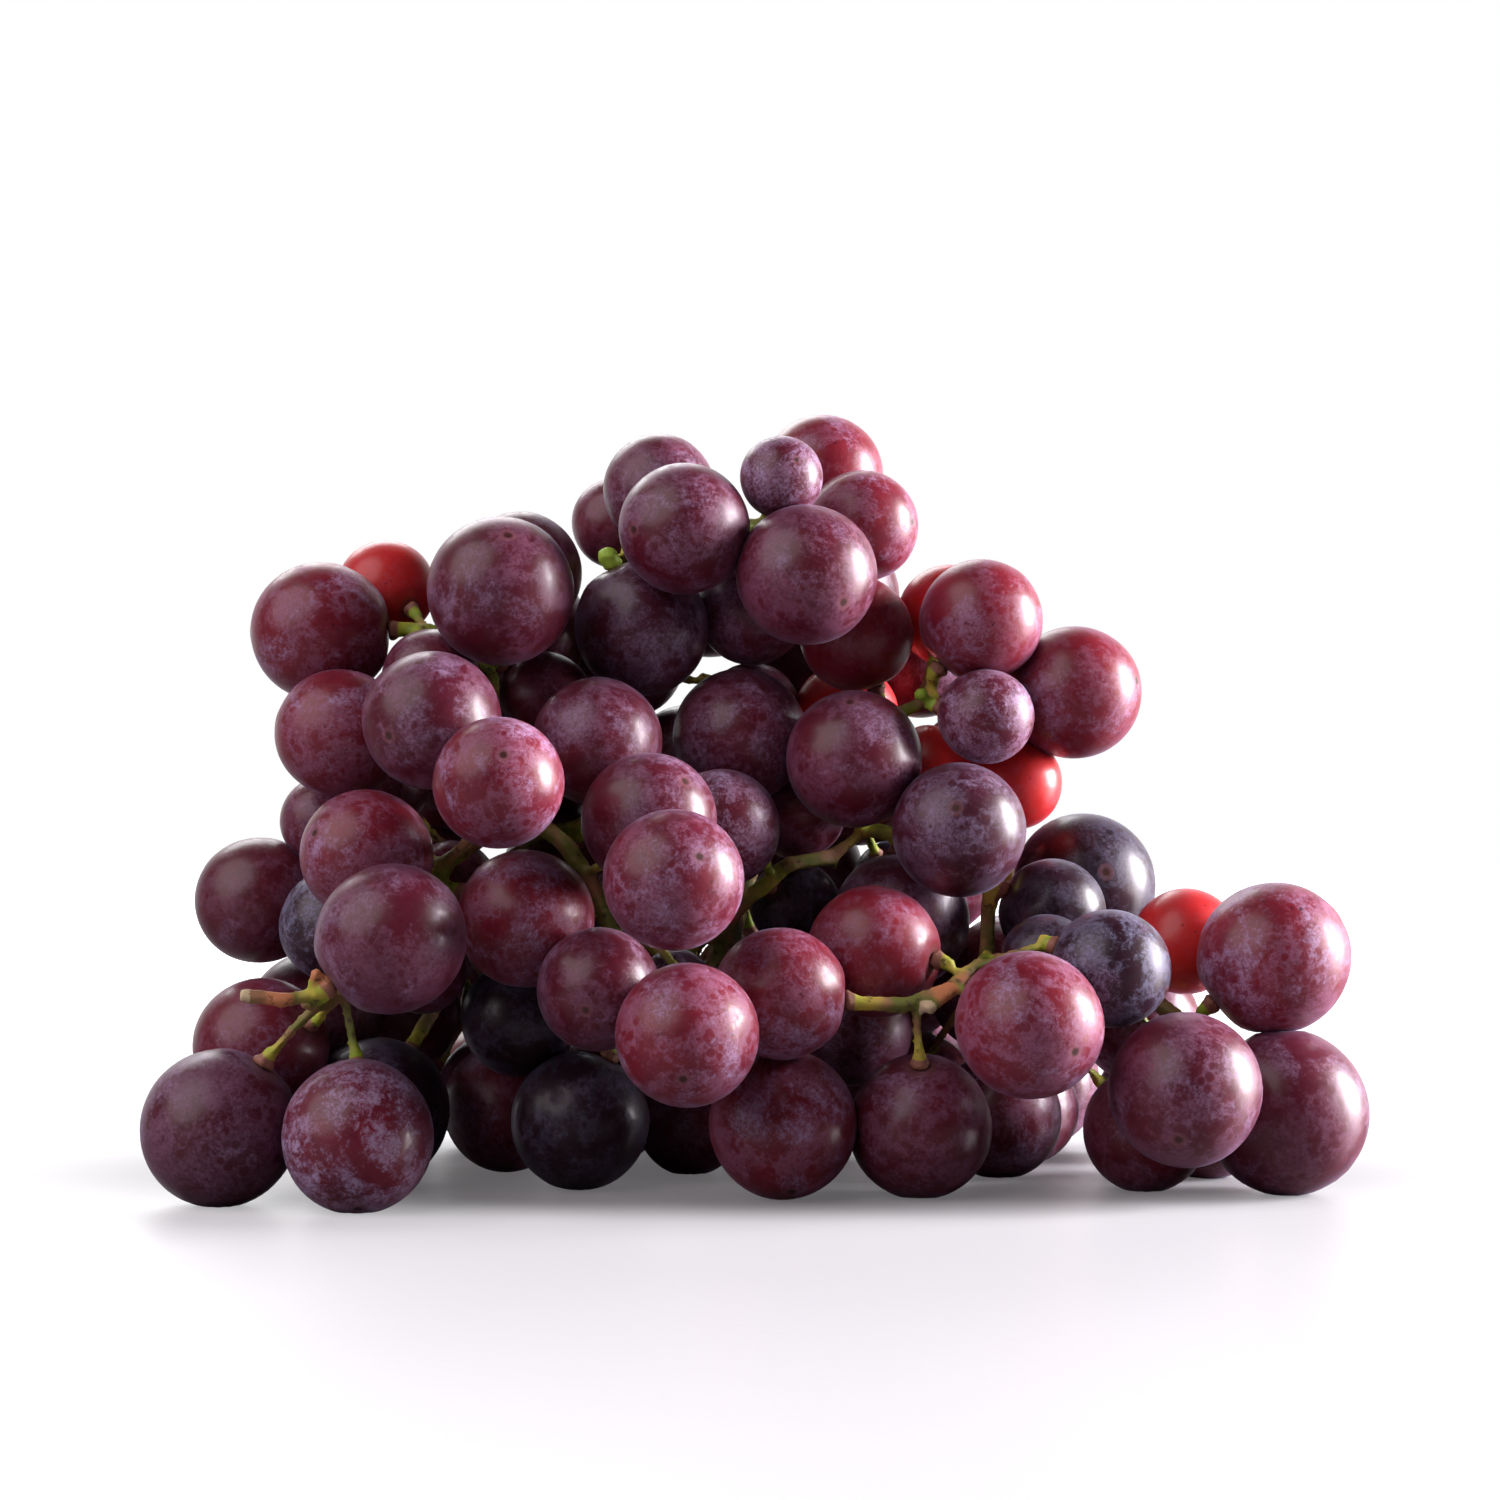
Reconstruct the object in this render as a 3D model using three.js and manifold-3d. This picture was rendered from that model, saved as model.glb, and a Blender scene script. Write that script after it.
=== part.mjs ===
// A bunch of large red table grapes, lying on a flat surface with its stalk end at the back.
// The berries of each spray press on each other and are one solid, and the whole stem is another.
// Millimetres: x to the right, y away from the viewer, z up from the surface.
import * as THREE from 'three';
import { mergeVertices } from 'three/addons/utils/BufferGeometryUtils.js';
import Module from 'manifold-3d';

// How the berries lie on each other
const berryDetail = 1;
const facetSwell = 1.03;
const pressDepth = 0.9;
const sprayGap = 0.75;
const floorSink = 0.5;
const settlePasses = 500;
const fixedEase = { across: 0.1, deep: 1.0 };
const looseEase = { across: 1.5, deep: 1.5 };

// The stem
const rachisRadius = 2.6;
const rachisSides = 8;
const branchSides = 4;
const pedicelSides = 3;
const pedicelRadius = 0.95;
const branchGrowth = 0.15;
const chordRoom = 0.3;
const branchRadiusMost = 1.5;
const stemClearance = 0.3;
const stepLength = 8;

// The open room between the berries is searched on a grid of this pitch
const gridPitch = 2;
const gridMargin = 6;
const lowestRoom = 1.5;
const roomMost = 9;
const outwardFree = 0.5;
const outwardCost = 5;
const tightCost = 2;
const tightRoom = { least: 1, most: 3 };
const sideLeast = 0.9;
const smoothRounds = 40;
const smoothEase = 0.5;

// Berries that show from the front, by spray: x, y, z, diameter, and the side its stalk comes from
const sprays = {
  berries_crown: [
    [-14.5, 8, 110.5, 18], [-21.5, 26, 105.5, 15], [-10.5, -12, 102.5, 20.5], [4.5, -6, 111, 13],
    [12, 22, 113.5, 20], [18, 5, 105, 18], [9.5, -12, 94.5, 22], [-18, 0, 86.5, 21.5],
    [1, 9, 90.5, 18], [17, 8, 86.5, 18.5],
  ],
  berries_right_shoulder: [
    [36, -2, 89.5, 19.5], [32, 18, 90.5, 16.5], [53, 2, 78.5, 21.5], [37, -8, 72.5, 15],
    [43.5, 6, 61.5, 15], [27.5, 15, 65.5, 14.5],
  ],
  berries_heart: [
    [33, -10, 56, 21], [16.5, 26, 76, 17.5], [0, 23, 75.5, 15.5], [23.5, 28, 58.5, 14],
    [-3, 3, 72.5, 21.5], [16.5, -5, 67, 21.5], [8, 14, 57, 15.5],
  ],
  berries_left_shoulder: [
    [-38, -15, 93, 23], [-37, 7, 96.5, 20], [-68, 0, 87.5, 22], [-58.5, 15, 94.5, 16],
    [-63, -12, 70, 20], [-47.5, -27, 72.5, 21], [-50.5, -5, 78.5, 15.5], [-36.5, -41, 62.5, 19.5],
  ],
  berries_left_breast: [
    [-23.5, -12, 69.5, 20], [-32, 4, 77, 16], [-15, -26, 57, 20.5],
    [-4.5, -9, 56, 18.5], [-11, -44, 48.5, 20.5],
  ],
  berries_left_flank: [
    [-57.5, -24, 53, 20], [-65.5, 2, 58, 14.5], [-78.5, 7, 43.5, 20], [-67, -10, 42, 17.5, [0.1, -0.4, -0.9]],
    [-52, -48, 39.5, 22, [-0.62, -0.55, -0.55]], [-46.5, 0, 47.5, 14.5], [-47.5, -10, 31.5, 14.5],
  ],
  berries_lap: [
    [-34.5, -20, 42.5, 21], [-29.5, 0, 47.5, 16.5], [-23, -33, 32, 18.5], [-8.5, -45, 26, 21],
    [-10.5, -18, 32, 11.5], [-39, 2, 21.5, 18.5], [-26, -10, 10, 21.5],
  ],
  berries_skirt: [
    [4, -30, 32.5, 20], [19, -16, 37, 20.5], [29, 8, 42.5, 22], [23.5, 27, 48, 13.5],
    [4, 5, 45, 14.5], [16, 10, 21.5, 18], [27, -13, 10, 22, [-0.3, -0.25, 0.95]], [4, -24, 10, 22.5],
  ],
  berries_right_flank: [
    [54.5, 21, 45.5, 23.5], [48, 2, 42.5, 17], [46, -12, 35.5, 14.5], [55, -25, 34, 18],
    [41, -38, 27, 22],
  ],
  berries_right_wing: [
    [69, 8, 37.5, 17], [80.5, -13, 37, 23.5], [87.5, -14, 11.5, 25.5], [62, -40, 18.5, 23], [58, 2, 9, 19.5],
  ],
  berries_left_foot: [
    [-56.5, 10, 10.5, 23], [-55.5, -43, 10, 22.5, [-0.22, 0.1, 0.97]], [-81, -33, 11, 23.5, [0.6, 0.3, 0.7]],
    [-77, -12, 24, 21],
  ],
  berries_core_low_left: [[-43.5, 30, 12.5, 17], [-9.5, 13, 8, 17.5]],
  berries_core_low_right: [[45.5, 31, 8, 18.5]],
};

// The hidden back: half rings of berries, one above the other
const backRings = [
  { height: 10.5, middle: 0, halfWidth: 44, depth: 40, spray: 'berries_core_low' },
  { height: 30, middle: 2, halfWidth: 40, depth: 32, spray: 'berries_core_low' },
  { height: 10.5, middle: 3, halfWidth: 70, depth: 66, spray: 'berries_back_low' },
  { height: 28, middle: 1, halfWidth: 68, depth: 60, spray: 'berries_back_low' },
  { height: 46, middle: -2, halfWidth: 62, depth: 54, spray: 'berries_back_middle' },
  { height: 64, middle: -6, halfWidth: 54, depth: 48, spray: 'berries_back_middle' },
  { height: 81, middle: -6, halfWidth: 48, depth: 40, spray: 'berries_back_top' },
  { height: 97, middle: -2, halfWidth: 26, depth: 30, spray: 'berries_back_top' },
];
const backPitch = 23;
const backDiameter = { least: 19, most: 24 };
const backJitter = 3;
const backSeed = 20;
const backCrowding = 7;

// The main stalk, from its cut end at the back to its tip inside the bunch
const rachisRoute = [
  [10, 86, 72], [8, 76, 71], [5, 62, 66], [2, 44, 58], [-1, 28, 49], [-4, 12, 38], [-5, 1, 29],
];

// Where the side branches fork, the two hubs that show at the front, and the broken twigs on them
const forks = [
  [-21, 6, 98.5], [3, 8, 103], [-53, -2, 88], [26.5, 0, 76], [-39, -5, 82], [14.5, 6, 50],
  [-23, -12, 42], [38, 0, 34], [69, -12, 29], [-58, 30, 40], [50, 40, 40], [-30, 45, 62], [25, 50, 70],
];
const frontHubs = [[-63.6, -42, 31.1], [25, -25.5, 30.5]];
const brokenTwigs = [
  [[-73.5, -43, 32], [-69, -42.5, 31.4], [-63.6, -42, 31.1]],
  [[-62.3, -43, 35.5], [-63.6, -42, 31.1]],
  [[26.5, -26.5, 28.8], [29, -25, 31.3], [31.5, -23, 32.3], [33.5, -19.5, 31.5]],
];
const twigRadius = 1.1;
const stuntedBerries = [[-22.5, 1, 99, 3.6], [27, -3, 77, 2.4]];
const stuntedStalkRadius = 0.6;

const mergeReach = 1e-4;
const floorBlock = { across: 400, thick: 40 };
const berryColour = 0x5a2538;
const stemColour = 0x8a8a4a;

const wasm = await Module();
wasm.setup();

// A seeded draw between 0 and 1
function makeDraw(seed) {
  let state = seed;
  return () => {
    state = (state * 1664525 + 1013904223) % 4294967296;
    return state / 4294967296;
  };
}

// A closed three.js geometry as a solid that can be joined and cut
function toSolid(geometry) {
  const bare = geometry.clone();
  bare.deleteAttribute('normal');
  bare.deleteAttribute('uv');
  const merged = mergeVertices(bare, mergeReach);
  const mesh = new wasm.Mesh({
    numProp: 3,
    vertProperties: new Float32Array(merged.attributes.position.array),
    triVerts: new Uint32Array(merged.index.array),
  });
  return new wasm.Manifold(mesh);
}

function toGeometry(solid) {
  const mesh = solid.getMesh();
  const geometry = new THREE.BufferGeometry();
  geometry.setAttribute('position', new THREE.BufferAttribute(new Float32Array(mesh.vertProperties), 3));
  geometry.setIndex(new THREE.BufferAttribute(new Uint32Array(mesh.triVerts), 1));
  return geometry;
}

// The front berries as listed
function frontBerries() {
  const berries = [];
  for (const [spray, rows] of Object.entries(sprays)) {
    for (const [x, y, z, diameter, stalkSide] of rows) {
      const place = new THREE.Vector3(x, y, z);
      const side = stalkSide ? new THREE.Vector3(...stalkSide).normalize() : null;
      berries.push({ spray, place, radius: diameter / 2, side, ease: fixedEase });
    }
  }
  return berries;
}

// Half rings round the back, where no other berry lies yet
function backBerries(berries) {
  const draw = makeDraw(backSeed);
  const added = [];
  for (const ring of backRings) {
    const arc = Math.PI * Math.hypot(ring.halfWidth, ring.depth) / Math.SQRT2;
    const count = Math.round(arc / backPitch);
    for (let k = 0; k < count; k++) {
      const turn = Math.PI * (k + 0.5) / count;
      const radius = (backDiameter.least + (backDiameter.most - backDiameter.least) * draw()) / 2;
      const place = new THREE.Vector3(
        ring.middle + ring.halfWidth * Math.cos(turn) + backJitter * (draw() - 0.5),
        ring.depth * Math.sin(turn) + backJitter * (draw() - 0.5),
        ring.height + backJitter * (draw() - 0.5),
      );
      const crowded = [...berries, ...added].some(
        (other) => other.place.distanceTo(place) < other.radius + radius - backCrowding);
      if (!crowded) {
        const spray = ring.spray + (place.x < ring.middle ? '_left' : '_right');
        added.push({ spray, place, radius, side: null, ease: looseEase });
      }
    }
  }
  return added;
}

const linkOf = (i, j) => `${Math.min(i, j)} ${Math.max(i, j)}`;

// The shortest set of touches that holds each spray together
function sprayLinks(berries) {
  const links = new Set();
  for (const spray of new Set(berries.map((berry) => berry.spray))) {
    const members = berries.map((berry, index) => index).filter((index) => berries[index].spray === spray);
    const joined = [members[0]];
    while (joined.length < members.length) {
      let best = null;
      for (const a of joined) {
        for (const b of members) {
          if (!joined.includes(b)) {
            const gap = berries[a].place.distanceTo(berries[b].place) - berries[a].radius - berries[b].radius;
            if (!best || gap < best.gap) best = { gap, a, b };
          }
        }
      }
      joined.push(best.b);
      links.add(linkOf(best.a, best.b));
    }
  }
  return links;
}

// Berries shift, mostly in depth, until they rest on each other, on the surface and beside the main stalk
function settle(berries, stalkPoints) {
  const links = sprayLinks(berries);
  const way = new THREE.Vector3();
  for (let pass = 0; pass < settlePasses; pass++) {
    for (let i = 0; i < berries.length; i++) {
      const a = berries[i];
      for (let j = i + 1; j < berries.length; j++) {
        const b = berries[j];
        way.subVectors(b.place, a.place);
        const apart = way.length();
        const linked = links.has(linkOf(i, j));
        const wanted = a.radius + b.radius + (linked ? -pressDepth : sprayGap);
        if (apart < wanted || linked) {
          way.divideScalar(apart);
          push(a, b, way, apart - wanted);
        }
      }
      for (const point of stalkPoints) {
        const off = a.place.distanceTo(point);
        const wanted = a.radius + rachisRadius + sprayGap;
        if (off < wanted) a.place.addScaledVector(way.subVectors(a.place, point), (wanted - off) / off);
      }
      a.place.z = Math.max(a.place.z, a.radius - floorSink);
    }
  }
}

// Moves two berries along the line between them, each by its own ease
function push(a, b, way, slack) {
  const give = (ease) => ease.across * (way.x * way.x + way.z * way.z) + ease.deep * way.y * way.y;
  const share = slack / (give(a.ease) + give(b.ease));
  for (const [berry, sign] of [[a, 1], [b, -1]]) {
    berry.place.x += sign * share * berry.ease.across * way.x;
    berry.place.y += sign * share * berry.ease.deep * way.y;
    berry.place.z += sign * share * berry.ease.across * way.z;
  }
}

// A berry is an even faceted ball, turned at random, its corners as far out as its faces are in
function berrySolid(berry, extra, turn) {
  const geometry = new THREE.IcosahedronGeometry(berry.radius * facetSwell + extra, berryDetail);
  geometry.applyQuaternion(turn);
  geometry.translate(berry.place.x, berry.place.y, berry.place.z);
  return toSolid(geometry);
}

// The room between berries as a grid of places, with the distance from each to the nearest berry
function openRoom(berries) {
  const box = new THREE.Box3();
  for (const berry of berries) {
    box.expandByPoint(berry.place.clone().addScalar(berry.radius));
    box.expandByPoint(berry.place.clone().subScalar(berry.radius));
  }
  box.expandByScalar(gridMargin);
  box.min.z = lowestRoom;
  const size = box.getSize(new THREE.Vector3());
  const counts = [size.x, size.y, size.z].map((length) => Math.floor(length / gridPitch) + 1);
  const total = counts[0] * counts[1] * counts[2];
  const room = new Float32Array(total);
  const centre = box.getCenter(new THREE.Vector3());
  const cost = new Float32Array(total);
  const place = (index) => new THREE.Vector3(
    box.min.x + gridPitch * (index % counts[0]),
    box.min.y + gridPitch * (Math.floor(index / counts[0]) % counts[1]),
    box.min.z + gridPitch * Math.floor(index / (counts[0] * counts[1])),
  );
  for (let index = 0; index < total; index++) {
    const point = place(index);
    let nearest = Infinity;
    for (const berry of berries) {
      nearest = Math.min(nearest, berry.place.distanceTo(point) - berry.radius * facetSwell);
    }
    room[index] = nearest;
    const outward = ((point.x - centre.x) / (size.x / 2)) ** 2 + ((point.y - centre.y) / (size.y / 2)) ** 2
      + ((point.z - centre.z) / (size.z / 2)) ** 2;
    const tight = (tightRoom.most - nearest) / (tightRoom.most - tightRoom.least);
    cost[index] = 1 + outwardCost * Math.max(0, outward - outwardFree) + tightCost * Math.max(0, tight);
  }
  return { counts, total, room, cost, place, least: pedicelRadius + stemClearance };
}

// The cheapest ways through the open room from a set of starting places
function spread(grid, starts) {
  const reach = new Float64Array(grid.total).fill(Infinity);
  const from = new Int32Array(grid.total).fill(-1);
  const heap = [];
  const swap = (i, j) => {
    const kept = heap[i];
    heap[i] = heap[j];
    heap[j] = kept;
  };
  const add = (index, value) => {
    heap.push({ index, value });
    let i = heap.length - 1;
    while (i > 0 && heap[(i - 1) >> 1].value > heap[i].value) {
      swap(i, (i - 1) >> 1);
      i = (i - 1) >> 1;
    }
  };
  const take = () => {
    swap(0, heap.length - 1);
    const first = heap.pop();
    let i = 0;
    while (true) {
      const left = 2 * i + 1;
      if (left >= heap.length) break;
      const least = left + 1 < heap.length && heap[left + 1].value < heap[left].value ? left + 1 : left;
      if (heap[i].value <= heap[least].value) break;
      swap(i, least);
      i = least;
    }
    return first;
  };
  for (const index of starts) {
    reach[index] = 0;
    add(index, 0);
  }
  const [nx, ny, nz] = grid.counts;
  while (heap.length) {
    const { index, value } = take();
    if (value > reach[index]) continue;
    const ix = index % nx;
    const iy = Math.floor(index / nx) % ny;
    const iz = Math.floor(index / (nx * ny));
    for (let dz = -1; dz <= 1; dz++) {
      for (let dy = -1; dy <= 1; dy++) {
        for (let dx = -1; dx <= 1; dx++) {
          const [jx, jy, jz] = [ix + dx, iy + dy, iz + dz];
          const inside = jx >= 0 && jy >= 0 && jz >= 0 && jx < nx && jy < ny && jz < nz;
          if (!inside) continue;
          const next = jx + nx * (jy + ny * jz);
          const open = grid.room[next] >= grid.least && grid.room[next] <= roomMost;
          const further = value + Math.hypot(dx, dy, dz) * grid.cost[next];
          if (open && further < reach[next]) {
            reach[next] = further;
            from[next] = index;
            add(next, further);
          }
        }
      }
    }
  }
  return { reach, from };
}

// The branching stem: side branches to every fork first, then a stalk from every berry to the nearest branch
function growStem(berries, stalkPoints) {
  const grid = openRoom(berries);
  const twigs = new Map();
  const nearStalk = [];
  for (let index = 0; index < grid.total; index++) {
    const point = grid.place(index);
    const root = stalkPoints.find((stalk) => stalk.distanceTo(point) < gridPitch);
    if (root && grid.room[index] >= grid.least) {
      nearStalk.push(index);
      twigs.set(index, { point: root.clone(), parent: -1, load: 0, fixed: true });
    }
  }
  let ways = spread(grid, nearStalk);
  const follow = (start) => {
    let index = start;
    while (index !== -1 && !twigs.has(index)) {
      const next = ways.from[index];
      twigs.set(index, { point: grid.place(index), parent: next, load: 0, fixed: false });
      index = next;
    }
  };
  const nearestOpen = (target) => {
    let best = -1;
    let bestOff = Infinity;
    for (let index = 0; index < grid.total; index++) {
      if (ways.reach[index] < Infinity) {
        const off = grid.place(index).distanceTo(target);
        if (off < bestOff) {
          bestOff = off;
          best = index;
        }
      }
    }
    return best;
  };
  const hubPlaces = frontHubs.map((hub) => nearestOpen(new THREE.Vector3(...hub)));
  const forkPlaces = [...hubPlaces, ...forks.map((fork) => nearestOpen(new THREE.Vector3(...fork)))];
  forkPlaces.sort((a, b) => ways.reach[a] - ways.reach[b]);
  for (const index of forkPlaces) {
    follow(index);
    ways = spread(grid, [...twigs.keys()]);
  }
  for (const index of hubPlaces) twigs.get(index).held = true;
  const tips = [];
  for (const berry of berries) {
    let best = -1;
    let bestCost = Infinity;
    for (let index = 0; index < grid.total; index++) {
      if (ways.reach[index] === Infinity) continue;
      const point = grid.place(index);
      const off = point.distanceTo(berry.place) - berry.radius * facetSwell;
      if (off > grid.least + gridPitch) continue;
      const way = point.clone().sub(berry.place).normalize();
      if (berry.side && way.dot(berry.side) < sideLeast) continue;
      const cost = ways.reach[index] + grid.cost[index] * off / gridPitch;
      if (cost < bestCost) {
        bestCost = cost;
        best = index;
      }
    }
    if (best === -1) continue;
    follow(best);
    const way = grid.place(best).sub(berry.place).normalize();
    tips.push({ berry, way, index: best });
  }
  return { grid, twigs, tips };
}

// Where a berry's stalk ends, just short of the berry
const stalkTop = ({ berry, way }) => berry.place.clone().addScaledVector(
  way, berry.radius * facetSwell + stemClearance);

// Straightens the stepped ways and keeps them clear of the berries
function smoothStem(stem, berries) {
  const { twigs, tips } = stem;
  const children = new Map();
  for (const [index, twig] of twigs) {
    if (twig.parent !== -1) {
      if (!children.has(twig.parent)) children.set(twig.parent, []);
      children.get(twig.parent).push(index);
    }
  }
  for (const tip of tips) {
    for (let index = tip.index; index !== -1; index = twigs.get(index).parent) twigs.get(index).load += 1;
  }
  const pulls = new Map(tips.map((tip) => [tip.index, tip]));
  for (let round = 0; round < smoothRounds; round++) {
    for (const [index, twig] of twigs) {
      if (twig.fixed || twig.held) continue;
      const near = [twigs.get(twig.parent).point];
      for (const child of children.get(index) ?? []) near.push(twigs.get(child).point);
      const tip = pulls.get(index);
      if (tip) near.push(stalkTop(tip));
      if (near.length < 2) continue;
      const mean = near.reduce((sum, point) => sum.add(point), new THREE.Vector3()).divideScalar(near.length);
      const moved = twig.point.clone().lerp(mean, smoothEase);
      for (const berry of berries) {
        const off = moved.clone().sub(berry.place);
        const wanted = berry.radius * facetSwell + stemClearance + chordRoom + branchRadius(twig.load);
        if (off.length() < wanted) moved.addScaledVector(off, (wanted - off.length()) / off.length());
      }
      const tight = berries.some(
        (berry) => moved.distanceTo(berry.place) - berry.radius * facetSwell < stem.grid.least);
      if (!tight) twig.point.copy(moved);
    }
  }
  return children;
}

// A round rod along points, which keeps the line that it was made on
function rod(points, radius, sides) {
  const curve = new THREE.CatmullRomCurve3(points, false, 'centripetal');
  const outline = new THREE.Shape();
  for (let k = 0; k < sides; k++) {
    const turn = 2 * Math.PI * k / sides;
    const [x, y] = [radius * Math.cos(turn), radius * Math.sin(turn)];
    if (k === 0) outline.moveTo(x, y);
    else outline.lineTo(x, y);
  }
  outline.closePath();
  const steps = Math.max(1, Math.round(curve.getLength() / stepLength));
  const solid = toSolid(new THREE.ExtrudeGeometry(outline, { steps, extrudePath: curve, bevelEnabled: false }));
  return { solid, line: curve.getSpacedPoints(steps) };
}

// The point of any of the rods' middle lines that is nearest to a point
function nearestOnRods(rods, point) {
  let best = null;
  const found = new THREE.Vector3();
  for (const { line } of rods) {
    for (let k = 1; k < line.length; k++) {
      new THREE.Line3(line[k - 1], line[k]).closestPointToPoint(point, true, found);
      if (!best || found.distanceTo(point) < best.distanceTo(point)) best = found.clone();
    }
  }
  return best;
}

const branchRadius = (load) => Math.min(branchRadiusMost, pedicelRadius + branchGrowth * (Math.sqrt(load) - 1));

// One rod from the end of each twig down to the thicker rod that it grows from, the thickest first
function stemRods(stem, children, stalk) {
  const { twigs, tips } = stem;
  const tipAt = new Map(tips.map((tip) => [tip.index, tip]));
  const mainChild = (index) => {
    const own = children.get(index) ?? [];
    return own.reduce((best, child) => (twigs.get(child).load > twigs.get(best).load ? child : best), own[0]);
  };
  const paths = [];
  for (const [index, twig] of twigs) {
    const ends = !children.has(index);
    const tip = tipAt.get(index);
    if (twig.fixed || (!ends && !tip)) continue;
    const points = [twig.point];
    if (tip) points.unshift(stalkTop(tip));
    let at = index;
    while (ends) {
      const down = twigs.get(at).parent;
      points.push(twigs.get(down).point);
      const side = twigs.get(down).fixed || mainChild(down) !== at;
      if (side) break;
      at = down;
    }
    paths.push({ points, load: ends ? Math.max(1, twigs.get(at).load) : 1 });
  }
  paths.sort((a, b) => b.load - a.load);
  const rods = [stalk];
  for (const { points, load } of paths) {
    const root = nearestOnRods(rods, points[points.length - 1]);
    if (points.length > 2) points.pop();
    rods.push(rod([...points, root], branchRadius(load), load > 2 ? branchSides : pedicelSides));
  }
  return rods;
}

function joinAll(solids) {
  return solids.reduce((whole, solid) => whole.add(solid));
}

const bunch = new THREE.Group();
bunch.name = 'bunch_of_grapes';

const stalkCurve = new THREE.CatmullRomCurve3(rachisRoute.map((point) => new THREE.Vector3(...point)));
const stalkPoints = stalkCurve.getSpacedPoints(Math.round(stalkCurve.getLength() / gridPitch));

const berries = frontBerries();
berries.push(...backBerries(berries));
settle(berries, stalkPoints);

const fullTurn = 2 * Math.PI;
const turnDraw = makeDraw(backSeed + 1);
for (const berry of berries) {
  berry.turn = new THREE.Quaternion().setFromEuler(
    new THREE.Euler(fullTurn * turnDraw(), fullTurn * turnDraw(), fullTurn * turnDraw()));
}

const floorGeometry = new THREE.BoxGeometry(floorBlock.across, floorBlock.across, floorBlock.thick);
floorGeometry.translate(0, 0, -floorBlock.thick / 2);
const underFloor = toSolid(floorGeometry);
const berryMaterial = new THREE.MeshStandardMaterial({ color: berryColour, roughness: 0.35, metalness: 0 });
for (const spray of [...new Set(berries.map((berry) => berry.spray))].sort()) {
  const members = berries.filter((berry) => berry.spray === spray);
  const solid = joinAll(members.map((berry) => berrySolid(berry, 0, berry.turn))).subtract(underFloor);
  const mesh = new THREE.Mesh(toGeometry(solid), berryMaterial);
  mesh.name = spray;
  bunch.add(mesh);
}

const stem = growStem(berries, stalkPoints);
const children = smoothStem(stem, berries);
const stemMaterial = new THREE.MeshStandardMaterial({ color: stemColour, roughness: 0.7, metalness: 0 });
const stalk = rod(rachisRoute.map((point) => new THREE.Vector3(...point)), rachisRadius, rachisSides);
const rods = stemRods(stem, children, stalk);
for (const twig of brokenTwigs) {
  const points = twig.map((point) => new THREE.Vector3(...point));
  rods.push(rod([...points, nearestOnRods(rods, points[points.length - 1])], twigRadius, branchSides));
}
const stemParts = rods.map((made) => made.solid);
for (const [x, y, z, diameter] of stuntedBerries) {
  const place = new THREE.Vector3(x, y, z);
  const ball = new THREE.IcosahedronGeometry(diameter / 2, 0);
  ball.translate(x, y, z);
  stemParts.push(toSolid(ball), rod([place, nearestOnRods(rods, place)], stuntedStalkRadius, pedicelSides).solid);
}
const berryRoom = joinAll(berries.map((berry) => berrySolid(berry, stemClearance, berry.turn)));
const clearStem = joinAll(stemParts).subtract(berryRoom);
const wholeStem = clearStem.decompose().reduce((best, piece) => (piece.volume() > best.volume() ? piece : best));
const stemMesh = new THREE.Mesh(toGeometry(wholeStem), stemMaterial);
stemMesh.name = 'stem';
bunch.add(stemMesh);

// The origin is the middle of the footprint, on the surface
const box = new THREE.Box3().setFromObject(bunch);
const middle = box.getCenter(new THREE.Vector3());
bunch.position.set(-middle.x, -middle.y, 0);
bunch.updateMatrixWorld(true);

export default bunch;
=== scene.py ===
# A bunch of red grapes, as picked, lying on a pale surface
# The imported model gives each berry's place and size; skins, bloom, stalks and light are made here
import math
import random
import bmesh
import bpy
import numpy as np
from mathutils import Matrix, Vector, noise


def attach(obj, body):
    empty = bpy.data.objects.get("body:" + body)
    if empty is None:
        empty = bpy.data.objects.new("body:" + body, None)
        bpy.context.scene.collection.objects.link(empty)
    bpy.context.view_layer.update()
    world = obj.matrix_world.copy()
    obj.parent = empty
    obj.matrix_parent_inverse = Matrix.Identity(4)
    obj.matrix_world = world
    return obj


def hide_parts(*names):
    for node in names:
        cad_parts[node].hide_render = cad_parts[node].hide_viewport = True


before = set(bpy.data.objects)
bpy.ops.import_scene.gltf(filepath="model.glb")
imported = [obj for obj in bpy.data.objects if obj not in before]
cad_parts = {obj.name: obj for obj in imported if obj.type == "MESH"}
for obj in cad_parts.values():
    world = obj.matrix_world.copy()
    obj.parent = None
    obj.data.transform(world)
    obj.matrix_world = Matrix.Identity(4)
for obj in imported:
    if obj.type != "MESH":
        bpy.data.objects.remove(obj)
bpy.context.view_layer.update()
print("stage: the packed bunch is loaded")

mm = 0.001


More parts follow.
